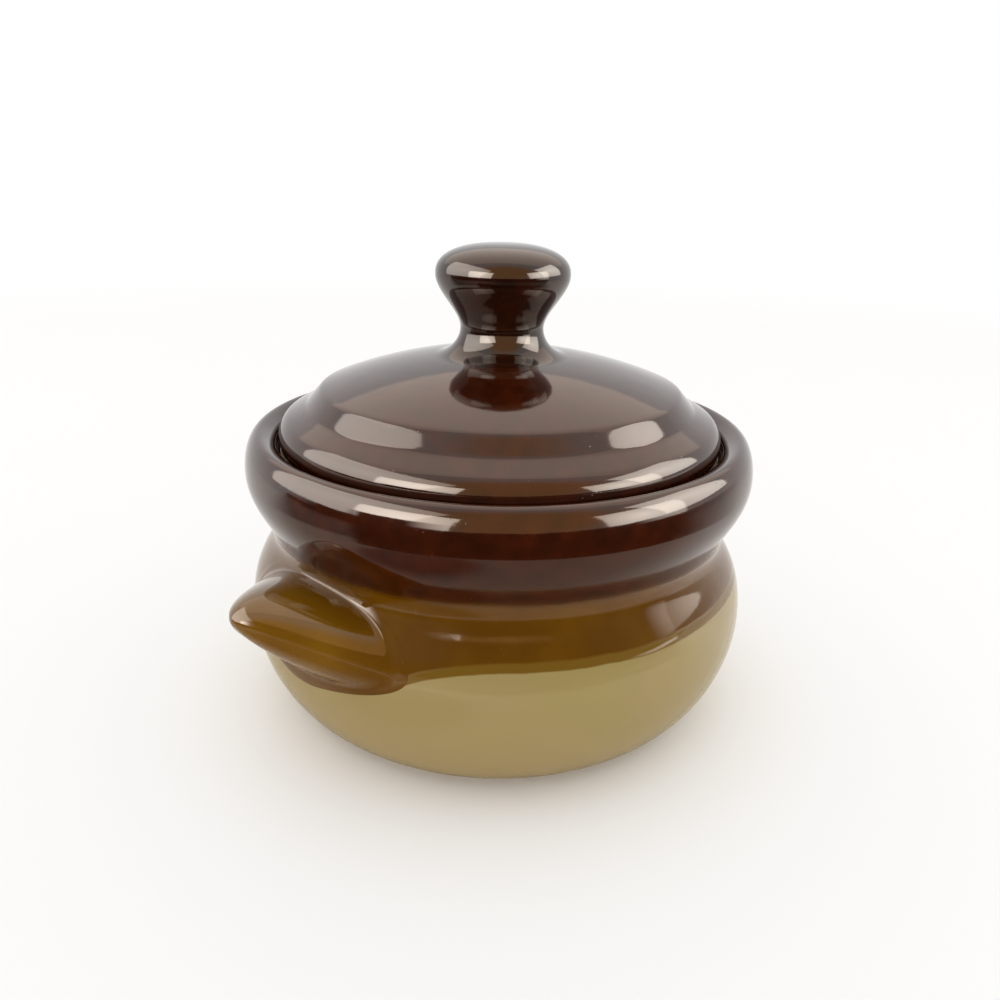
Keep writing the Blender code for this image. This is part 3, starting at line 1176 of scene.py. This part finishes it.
@dataclass
class Lid:
    """The turned lid: rolled edge, flange, step and dome, hollow underneath."""

    pot: Pot
    play: float = 0.0008
    seat_gap: float = 0.0003
    edge_rise: float = 0.0089
    edge_belly: float = 0.0043
    edge_round: float = 0.0027
    bearing_round: float = 0.0021
    bearing_width: float = 0.0061
    flange_width: float = 0.0042
    flange_rise: float = 0.0022
    step_run: float = 0.0038
    step_rise: float = 0.0042
    step_round: float = 0.0014
    dome_rise: float = 0.0087
    wall: float = 0.0055
    edge_ease: float = 0.5
    dome_rows: int = 72
    rings: Pair = (0.00014, 980.0)
    calm_middle: float = 0.004
    steps: int = 320
    unevenness: float = 0.00007
    seed: float = 4.2

    def __post_init__(self) -> None:
        """Work out the places that follow from the sizes."""
        self.seat = self.pot.ledge + self.seat_gap
        self.radius = self.pot.mouth_radius - self.play
        self.step_radius = self.radius - self.edge_round - self.flange_width - self.step_run
        self.step_top = self.seat + self.edge_rise + self.flange_rise + self.step_rise
        self.crown = self.step_top + self.dome_rise
        self.sphere = (self.step_radius ** 2 + self.dome_rise ** 2) / (2 * self.dome_rise)

    def dome(self, radius: float) -> float:
        """Height of the dome at a radius."""
        return self.crown + math.sqrt(self.sphere ** 2 - radius ** 2) - self.sphere

    def outline(self) -> Outline:
        """The profile, from the crown over the step and the rolled edge to the hollow.

        Returns:
            The profile.
        """
        seat = self.seat
        radii = np.linspace(0.0, self.step_radius - self.step_round, self.dome_rows)
        dome = [(float(r), self.dome(float(r))) for r in radii]
        step_top = (self.step_radius, self.step_top)
        step_foot = (self.step_radius + self.step_run, seat + self.edge_rise + self.flange_rise)
        flange = (self.radius - self.edge_round, seat + self.edge_rise)
        edge = (self.radius, seat + self.edge_belly)
        ease = self.edge_ease * self.edge_round
        shoulder = (flange[0] + ease, flange[1] - ease * self.flange_rise / self.flange_width)
        over_edge = (self.radius, edge[1] + self.edge_ease * (self.edge_rise - self.edge_belly))
        bearing = (self.radius - self.bearing_round, seat)
        hollow = (bearing[0] - self.bearing_width, seat)
        above = eased_corner(dome[-1], step_top, step_foot, self.step_round)
        below = eased_corner(step_top, step_foot, flange, self.step_round)
        made = Outline()
        made.run(dome)
        made.run(above[1:])
        made.run(straight(above[-1], below[0]))
        made.run(below[1:])
        made.run(straight(below[-1], flange))
        made.run(bezier(flange, shoulder, over_edge, edge))
        made.run(quarter(edge, bearing, False))
        made.run(straight(bearing, hollow, Rows.PLAIN), Cover.BARE)
        under = quarter(hollow, (0.0, self.crown - self.wall), False, Rows.HIDDEN)
        made.run(rippled(under, *self.rings, self.calm_middle))
        return made

    def build(self, lathe: Lathe, finish: Material) -> None:
        """Turn the lid and set it in its place."""
        piece = lathe.turned("lid_turned", self.outline(), self.steps, self.unevenness, self.seed, finish)
        settle(piece, Body.LID, "lid")


@dataclass
class Knob:
    """The knob: a flattened head on a waist that flares into the dome of the lid."""

    lid: Lid
    radius: float = 0.0166
    crown: float = 0.0074
    head_rise: float = 0.0127
    waist_radius: float = 0.0104
    waist_rise: float = 0.0057
    foot_radius: float = 0.0171
    squareness: float = 2.4
    skirt: float = 0.0010
    skirt_dip: float = 0.00022
    bed: float = 0.0010
    head_rows: int = 60
    head_undercut: float = 0.33
    waist_hollow: Pair = (0.30, 0.45)
    foot_spread: float = 0.62
    skirt_steps: tuple[float, ...] = (0.25, 0.5, 0.75, 1.0)
    bed_steps: tuple[float, ...] = (1.0, 0.5, 0.0)
    steps: int = 200
    unevenness: float = 0.00006
    seed: float = 8.8

    def outline(self) -> Outline:
        """The profile, from the top of the head to the bed under the dome's skin.

        Returns:
            The profile.
        """
        lid = self.lid
        waist = (self.waist_radius, lid.crown + self.waist_rise)
        head = (self.radius, waist[1] + self.head_rise)
        angles = np.linspace(0.0, math.pi / 2, self.head_rows)
        across = np.sin(angles) ** (2 / self.squareness)
        above = np.clip(np.cos(angles), 0.0, 1.0) ** (2 / self.squareness)
        foot = (self.foot_radius, lid.dome(self.foot_radius))
        fall = foot[1] - waist[1]
        run = foot[0] - waist[0]
        hollow = (waist[0], waist[1] + self.waist_hollow[1] * fall)
        level = (foot[0] - self.foot_spread * run, foot[1] + self.foot_spread * run * foot[0] / lid.sphere)
        skirt = []
        for part in self.skirt_steps:
            out = self.foot_radius + part * self.skirt
            skirt.append((out, lid.dome(out) - self.skirt_dip * part * part))
        made = Outline()
        made.run([(self.radius * a, head[1] + self.crown * u) for a, u in zip(across, above)])
        made.run(upright(head, waist, self.head_undercut, self.waist_hollow[0]))
        made.run(bezier(waist, hollow, level, foot))
        made.run(skirt)
        for share in self.bed_steps:
            radius = share * self.foot_radius
            made.run([(radius, lid.dome(radius) - self.bed)])
        return made

    def build(self, lathe: Lathe, finish: Material) -> None:
        """Turn the knob and set it in its place."""
        piece = lathe.turned("knob_turned", self.outline(), self.steps, self.unevenness, self.seed, finish)
        settle(piece, Body.LID, "lid_knob")


@dataclass(frozen=True)
class SoftBox:
    """A soft rectangular lamp. Angles are in degrees, turned from the camera's side of the pot."""

    name: str
    turn: float
    climb: float
    distance: float
    width: float
    height: float
    radiance: float
    spread: float
    colour: Colour = (1.0, 0.94, 0.87)

    def power(self) -> float:
        """The lamp's power, for its radiance in the middle; a narrow spread fades its edges.

        Returns:
            The power in watts.
        """
        half = math.radians(self.spread) / 2
        gain = math.tan(half) / (math.tan(half) - half)
        return self.radiance * math.pi * self.width * self.height / gain


@dataclass(frozen=True)
class Card:
    """A dark strip bent round the front of the pot: its distance, edges, ends and how they fade."""

    radius: float
    low: float
    high: float
    left: float
    right: float
    fade_left: float
    fade_right: float

    def body(self, turn: float) -> float:
        """How solid the card is at a turn: it fades out towards its ends.

        Args:
            turn: Degrees to the right of the camera's side.

        Returns:
            1 where it is solid and 0 where it is gone.
        """
        left = (turn - self.left) / self.fade_left
        right = (self.right - turn) / self.fade_right
        return max(0.0, min(1.0, left, right))


@dataclass
class Studio:
    """A pale floor, a white surround, soft lamps and dark cards that only gloss shows, and the camera.

    Angles are in degrees, and turns go to the right of the camera's side of the pot. A reach, a spread or
    light_climb says where a change starts and where it is done.
    """

    heading: float = 42.7
    aim: tuple[float, float, float] = (-0.000305, 0.000331, 0.050362)
    distance: float = 0.222132
    view_climb: float = 21.211
    roll: float = 1.249
    focal: float = 29.563
    sensor: float = 36.0
    clip: Pair = (0.005, 50.0)
    floor_radius: float = 6.0
    floor_sides: int = 96
    floor_colour: Colour = (0.95, 0.940, 0.918)
    floor_dulling: float = 0.97
    floor_roughness: float = 0.7
    floor_mottle: Pair = (9.0, 3.0)
    floor_gloss: Colour = (0.52, 0.47, 0.40)
    floor_lift: float = 0.50
    lift_reach: Pair = (0.045, 0.095)
    white_reach: Pair = (0.25, 1.1)
    gloss_reach: Pair = (0.19, 0.22)
    front_turn: float = -8.0
    front_reach: Pair = (-0.03, 0.07)
    lug_side: Pair = (-28.0, 0.130)
    lug_reach: Pair = (0.035, 0.065)
    low_light: float = 0.96
    high_light: float = 1.02
    light_climb: Pair = (0.0, 0.9)
    room: Colour = (1.05, 0.62, 0.30)
    room_way: Pair = (8.0, 32.0)
    room_spread: Pair = (0.616, 0.913)
    lamp_base: float = 0.05
    dark: Colour = (0.030, 0.022, 0.018)
    darkest: Colour = (0.010, 0.008, 0.007)
    card_roughness: float = 0.95
    card_mottle: Pair = (12.0, 3.0)
    card_columns: int = 61
    cards: tuple[Card, ...] = (
        Card(0.80, 0.0, 0.140, -95.0, 85.0, 20.0, 30.0),
        Card(0.100, 0.040, 0.069, -43.0, 90.0, 5.0, 40.0),
        Card(0.100, 0.069, 0.080, -43.0, -12.0, 5.0, 12.0),
    )
    lamps: tuple[SoftBox, ...] = (
        SoftBox("lamp_left", -73.0, 30.0, 0.95, 1.46, 0.90, 4.8, 124.0),
        SoftBox("lamp_left_edge", -39.0, 20.0, 0.90, 0.66, 0.45, 10.5, 90.0),
        SoftBox("lamp_right", 63.0, 16.0, 0.90, 0.62, 0.52, 10.5, 70.0),
        SoftBox("lamp_right_high", 91.0, 27.0, 0.95, 0.73, 0.68, 7.8, 90.0),
        SoftBox("lamp_top", 180.0, 62.0, 1.10, 2.40, 1.30, 0.86, 140.0, (1.0, 0.71, 0.50)),
    )

    def toward(self, turn: float, climb: float) -> Vector:
        """A direction from the pot.

        Args:
            turn: Degrees to the right of the camera's side.
            climb: Degrees above the floor.

        Returns:
            The direction, of length 1.
        """
        flat = math.radians(self.heading + turn)
        rise = math.radians(climb)
        return Vector((math.cos(rise) * math.cos(flat), math.cos(rise) * math.sin(flat), math.sin(rise)))

    def hang_lamps(self) -> None:
        """Add the soft lamps, turned to the pot. Only its gloss shows them."""
        for box in self.lamps:
            light = bpy.data.lights.new(box.name, "AREA")
            light.shape = "RECTANGLE"
            light.size = box.width
            light.size_y = box.height
            light.color = box.colour
            light.energy = box.power()
            light.spread = math.radians(box.spread)
            lamp = placed(box.name, light)
            out = self.toward(box.turn, box.climb)
            lamp.location = out * box.distance + Vector((0.0, 0.0, self.lamp_base))
            lamp.rotation_euler = out.to_track_quat("Z", "Y").to_euler()
            lamp.visible_camera = False
            lamp.visible_diffuse = False

    def floor_material(self) -> Material:
        """Pale paper that fades into the white surround; gloss sees it darker in front of the pot and
        beside the lug, a painted shade that only reflections show.

        Returns:
            The material.
        """
        material = bpy.data.materials.new("pale_floor")
        sheet = NodeSheet.of(material)
        place = sheet.node("ShaderNodeTexCoord", output="Object")
        dull = tuple(self.floor_dulling * c for c in self.floor_colour)
        away = sheet.vector("LENGTH", place, output="Value")
        front = sheet.vector("DOT_PRODUCT", place, tuple(self.toward(self.front_turn, 0.0)), output="Value")
        path = sheet.node("ShaderNodeLightPath", output="Is Camera Ray")
        # Painted shade seen only in reflections: a darker floor in front of the pot and near the lug.
        ahead = path["Is Glossy Ray"] * front.eased(*self.front_reach)
        spot = tuple(self.toward(self.lug_side[0], 0.0) * self.lug_side[1])
        beside = sheet.vector("DISTANCE", place, spot, output="Value").eased(*self.lug_reach)
        shade = away.eased(*self.gloss_reach).at_least(1.0 - beside)
        mirrored = sheet.mixed(shade, self.floor_gloss, self.dark)
        plain = sheet.mixed(sheet.noise(*self.floor_mottle), dull, self.floor_colour)
        colour = sheet.mixed(ahead, plain, mirrored)
        look = {"Base Color": colour, "Roughness": self.floor_roughness}
        paper = sheet.node("ShaderNodeBsdfPrincipled", sockets=look)
        white = sheet.node("ShaderNodeEmission", sockets={"Color": (1.0, 1.0, 1.0, 1.0), "Strength": 1.0})
        share = away.eased(*self.white_reach) * self.shown(sheet) * (1.0 - ahead)
        # Camera rays see part of the floor as white glow, growing away from the pot: painted light that
        # lightens its shadow beyond the contact.
        lift = path * away.eased(*self.lift_reach) * self.floor_lift
        surface = sheet.node("ShaderNodeMixShader", sockets={0: share.at_least(lift), 1: paper, 2: white})
        sheet.node("ShaderNodeOutputMaterial", sockets={"Surface": surface})
        return material

    def lay_floor(self) -> None:
        """Add the floor."""
        shape = bmesh.new()
        bmesh.ops.create_circle(shape, cap_ends=True, segments=self.floor_sides, radius=self.floor_radius)
        floor = skinned("floor", shape)
        floor.data.materials.append(self.floor_material())

    def card_material(self) -> Material:
        """Dark paper, solid where the cards' points say so.

        Returns:
            The material.
        """
        material = bpy.data.materials.new("dark_card")
        sheet = NodeSheet.of(material)
        colour = sheet.mixed(sheet.noise(*self.card_mottle), self.darkest, self.dark)
        look = {"Base Color": colour, "Roughness": self.card_roughness, "Alpha": sheet.carried("body")}
        paper = sheet.node("ShaderNodeBsdfPrincipled", sockets=look)
        sheet.node("ShaderNodeOutputMaterial", sockets={"Surface": paper})
        return material

    def stand_cards(self) -> None:
        """Add the dark cards bent round the front."""
        shape = bmesh.new()
        body = shape.verts.layers.float.new("body")
        for card in self.cards:
            rows = []
            for turn in np.linspace(card.left, card.right, self.card_columns):
                flat = self.toward(turn, 0.0) * card.radius
                row = [shape.verts.new((flat.x, flat.y, height)) for height in (card.low, card.high)]
                for point in row:
                    point[body] = card.body(turn)
                rows.append(row)
            for near, far in zip(rows, rows[1:]):
                shape.faces.new((near[0], far[0], far[1], near[1]))
        cards = skinned("cards", shape)
        cards.data.materials.append(self.card_material())
        cards.visible_camera = False
        cards.visible_diffuse = False
        cards.visible_shadow = False

    @staticmethod
    def shown(sheet: NodeSheet) -> Socket:
        """1 where a ray comes from the camera, from gloss or through glass, and 0 for soft light."""
        path = sheet.node("ShaderNodeLightPath", output="Is Camera Ray")
        return path.at_least(path["Is Glossy Ray"]).at_least(path["Is Transmission Ray"])

    def surround(self) -> None:
        """Set the white surround: light mostly from above, and a dim room behind the camera."""
        world = bpy.data.worlds.new("surround")
        bpy.context.scene.world = world
        sheet = NodeSheet.of(world)
        way = sheet.node("ShaderNodeTexCoord", output="Generated")
        behind = sheet.vector("DOT_PRODUCT", way, tuple(self.toward(*self.room_way)), output="Value")
        gloss = sheet.node("ShaderNodeLightPath", output="Is Glossy Ray")
        colour = sheet.mixed(behind.eased(*self.room_spread) * gloss, (1.0, 1.0, 1.0), self.room)
        rise = sheet.node("ShaderNodeSeparateXYZ", sockets={"Vector": way})["Z"]
        even = self.low_light + rise.eased(*self.light_climb) * (self.high_light - self.low_light)
        strength = even + self.shown(sheet) * (1.0 - even)
        light = sheet.node("ShaderNodeBackground", sockets={"Color": colour, "Strength": strength})
        sheet.node("ShaderNodeOutputWorld", sockets={"Surface": light})

    def place_camera(self) -> None:
        """Add the camera at the photograph's viewing angle."""
        data = bpy.data.cameras.new("camera")
        data.lens = self.focal
        data.sensor_width = self.sensor
        data.clip_start, data.clip_end = self.clip
        camera = placed("camera", data)
        back = self.toward(0.0, self.view_climb)
        right = Vector((0.0, 0.0, 1.0)).cross(back).normalized()
        up = back.cross(right)
        lean = math.radians(self.roll)
        across = right * math.cos(lean) + up * math.sin(lean)
        upward = up * math.cos(lean) - right * math.sin(lean)
        spot = Vector(self.aim) + back * self.distance
        turn = Matrix((across, upward, back)).transposed().to_4x4()
        camera.matrix_world = Matrix.Translation(spot) @ turn
        bpy.context.scene.camera = camera

    def build(self) -> None:
        """Set up the whole studio."""
        bpy.context.scene.view_settings.view_transform = "Standard"
        self.surround()
        self.lay_floor()
        self.stand_cards()
        self.hang_lamps()
        self.place_camera()
        LOG.info("studio: %d lamps", len(self.lamps))


def main() -> None:
    """Build the pot with its lug, the lid with its knob, and the studio round them."""
    logging.basicConfig(level=logging.INFO, format="%(message)s")
    lathe = Lathe()
    banded = BandedGlaze()
    pot = Pot()
    pot.build(lathe, banded)
    Lug(pot).build(banded)
    lid = Lid(pot)
    lid.build(lathe, BrownGlaze().material("brown_glaze_on_lid"))
    # The knob gets a darker copy of the brown glaze: painted shade for the shadow under its head, laid over
    # the whole knob.
    shaded_knob_brown = BrownGlaze(deep=(0.010, 0.0018, 0.0006), red=(0.024, 0.0040, 0.0010))
    Knob(lid).build(lathe, shaded_knob_brown.material("brown_glaze_on_knob"))
    Studio().build()


if __name__ == "__main__":
    main()
